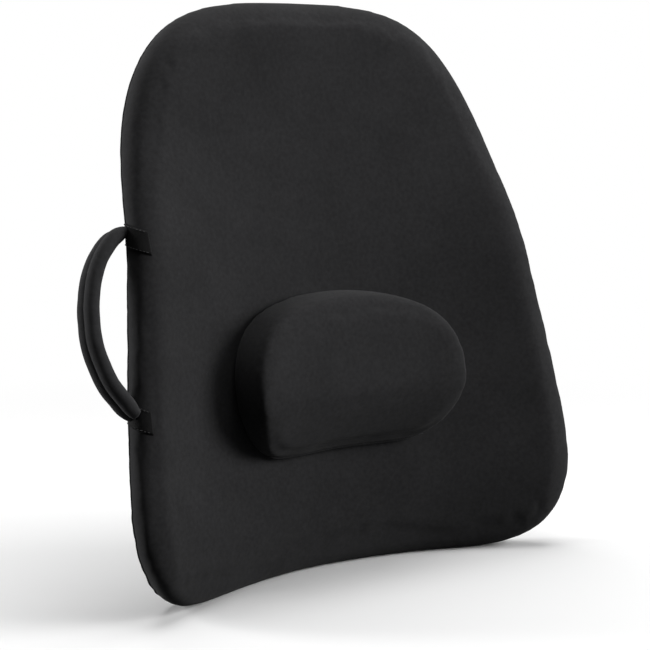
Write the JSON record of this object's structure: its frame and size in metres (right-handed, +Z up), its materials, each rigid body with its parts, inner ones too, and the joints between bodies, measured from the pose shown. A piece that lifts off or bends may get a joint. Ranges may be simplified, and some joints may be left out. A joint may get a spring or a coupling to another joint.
{
  "type": "lumbar support cushion",
  "caption": "Full-height contoured lumbar backrest with a removable lumbar pad, side carry handle, zipped fabric cover and buckled chair strap.",
  "frame": {"origin": "middle of the flat foot on the resting plane, on the centre plane of the backrest", "axes": "+Z up, -Y the way the front faces, +X to the right when seen from the front"},
  "size_m": [0.5116, 0.1875, 0.5317],
  "materials": {
    "cover_fabric": "black stretch knit",
    "pad_fabric": "black stretch knit",
    "handle_fabric": "black padded sleeve fabric",
    "webbing": "black woven webbing",
    "foam": "open cell foam",
    "frame": "moulded plastic, fine grain",
    "zip_tape": "woven zip tape",
    "zip_teeth": "moulded plastic teeth",
    "zip_metal": "black coated die-cast metal",
    "buckle_plastic": "acetal, satin",
    "hook_tape": "hook and loop tape"
  },
  "bodies": {
    "backrest": {"frame_shell": "frame", "front_foam": "foam", "rear_foam": "foam", "front_cover": "cover_fabric", "rear_cover": "cover_fabric", "seam_welt": "cover_fabric", "zip_tape_upper": "zip_tape", "zip_tape_lower": "zip_tape", "zip_teeth_upper": "zip_teeth", "zip_teeth_lower": "zip_teeth", "zip_stops": "zip_metal", "handle_tab_upper": "webbing", "handle_tab_lower": "webbing", "strap_left": "webbing", "strap_right": "webbing", "strap_patch_left": "webbing", "strap_patch_right": "webbing", "buckle_socket": "buckle_plastic"},
    "zip_slider": {"zip_slider": "zip_metal"},
    "zip_pull": {"zip_pull": "zip_metal"},
    "handle": {"handle_webbing": "webbing", "handle_cords": "foam", "handle_sleeve": "handle_fabric"},
    "buckle_plug": {"buckle_plug": "buckle_plastic", "strap_tail": "webbing"},
    "prong_upper": {"prong_upper": "buckle_plastic"},
    "prong_lower": {"prong_lower": "buckle_plastic"},
    "pad_grip": {"hook_strip_left": "hook_tape", "hook_strip_right": "hook_tape"},
    "lumbar_pad": {"pad_foam": "foam", "pad_cover": "pad_fabric", "pad_back_panel": "hook_tape", "pad_hem": "pad_fabric"}
  },
  "joints": [
    {"name": "pad_height", "type": "slide", "parent": "backrest", "child": "pad_grip", "axis": [0, 0.1483, 0.9889], "range_m": [-0.01, 0.08]},
    {"name": "pad_lift_off", "type": "slide", "parent": "pad_grip", "child": "lumbar_pad", "axis": [0, -0.9889, 0.1483], "range_m": [0, 0.12]},
    {"name": "handle_swing", "type": "hinge", "parent": "backrest", "child": "handle", "pos_m": [-0.236, -0.066, 0.18], "axis": [0.1389, 0.3283, 0.9343], "range_deg": [-12, 12]},
    {"name": "zip_travel", "type": "hinge", "parent": "backrest", "child": "zip_slider", "pos_m": [0, -0.4034, 0.075], "axis": [0, 0, 1], "range_deg": [0, 41.2], "deforming": ["zip_teeth_upper", "zip_teeth_lower"]},
    {"name": "zip_pull_turn", "type": "hinge", "parent": "zip_slider", "child": "zip_pull", "pos_m": [0.15108, -0.01216, 0.075], "axis": [0, 0, 1], "range_deg": [0, 160]},
    {"name": "buckle_release", "type": "slide", "parent": "backrest", "child": "buckle_plug", "axis": [1, 0, 0], "range_m": [0, 0.03], "deforming": ["strap_right", "prong_upper", "prong_lower"]},
    {"name": "prong_upper_press", "type": "hinge", "parent": "buckle_plug", "child": "prong_upper", "pos_m": [0.0002, 0.04307, 0.24506], "axis": [0, -0.9889, 0.1483], "range_deg": [0, 8]},
    {"name": "prong_lower_press", "type": "hinge", "parent": "buckle_plug", "child": "prong_lower", "pos_m": [0.0002, 0.03981, 0.22331], "axis": [0, 0.9889, -0.1483], "range_deg": [0, 8]}
  ]
}
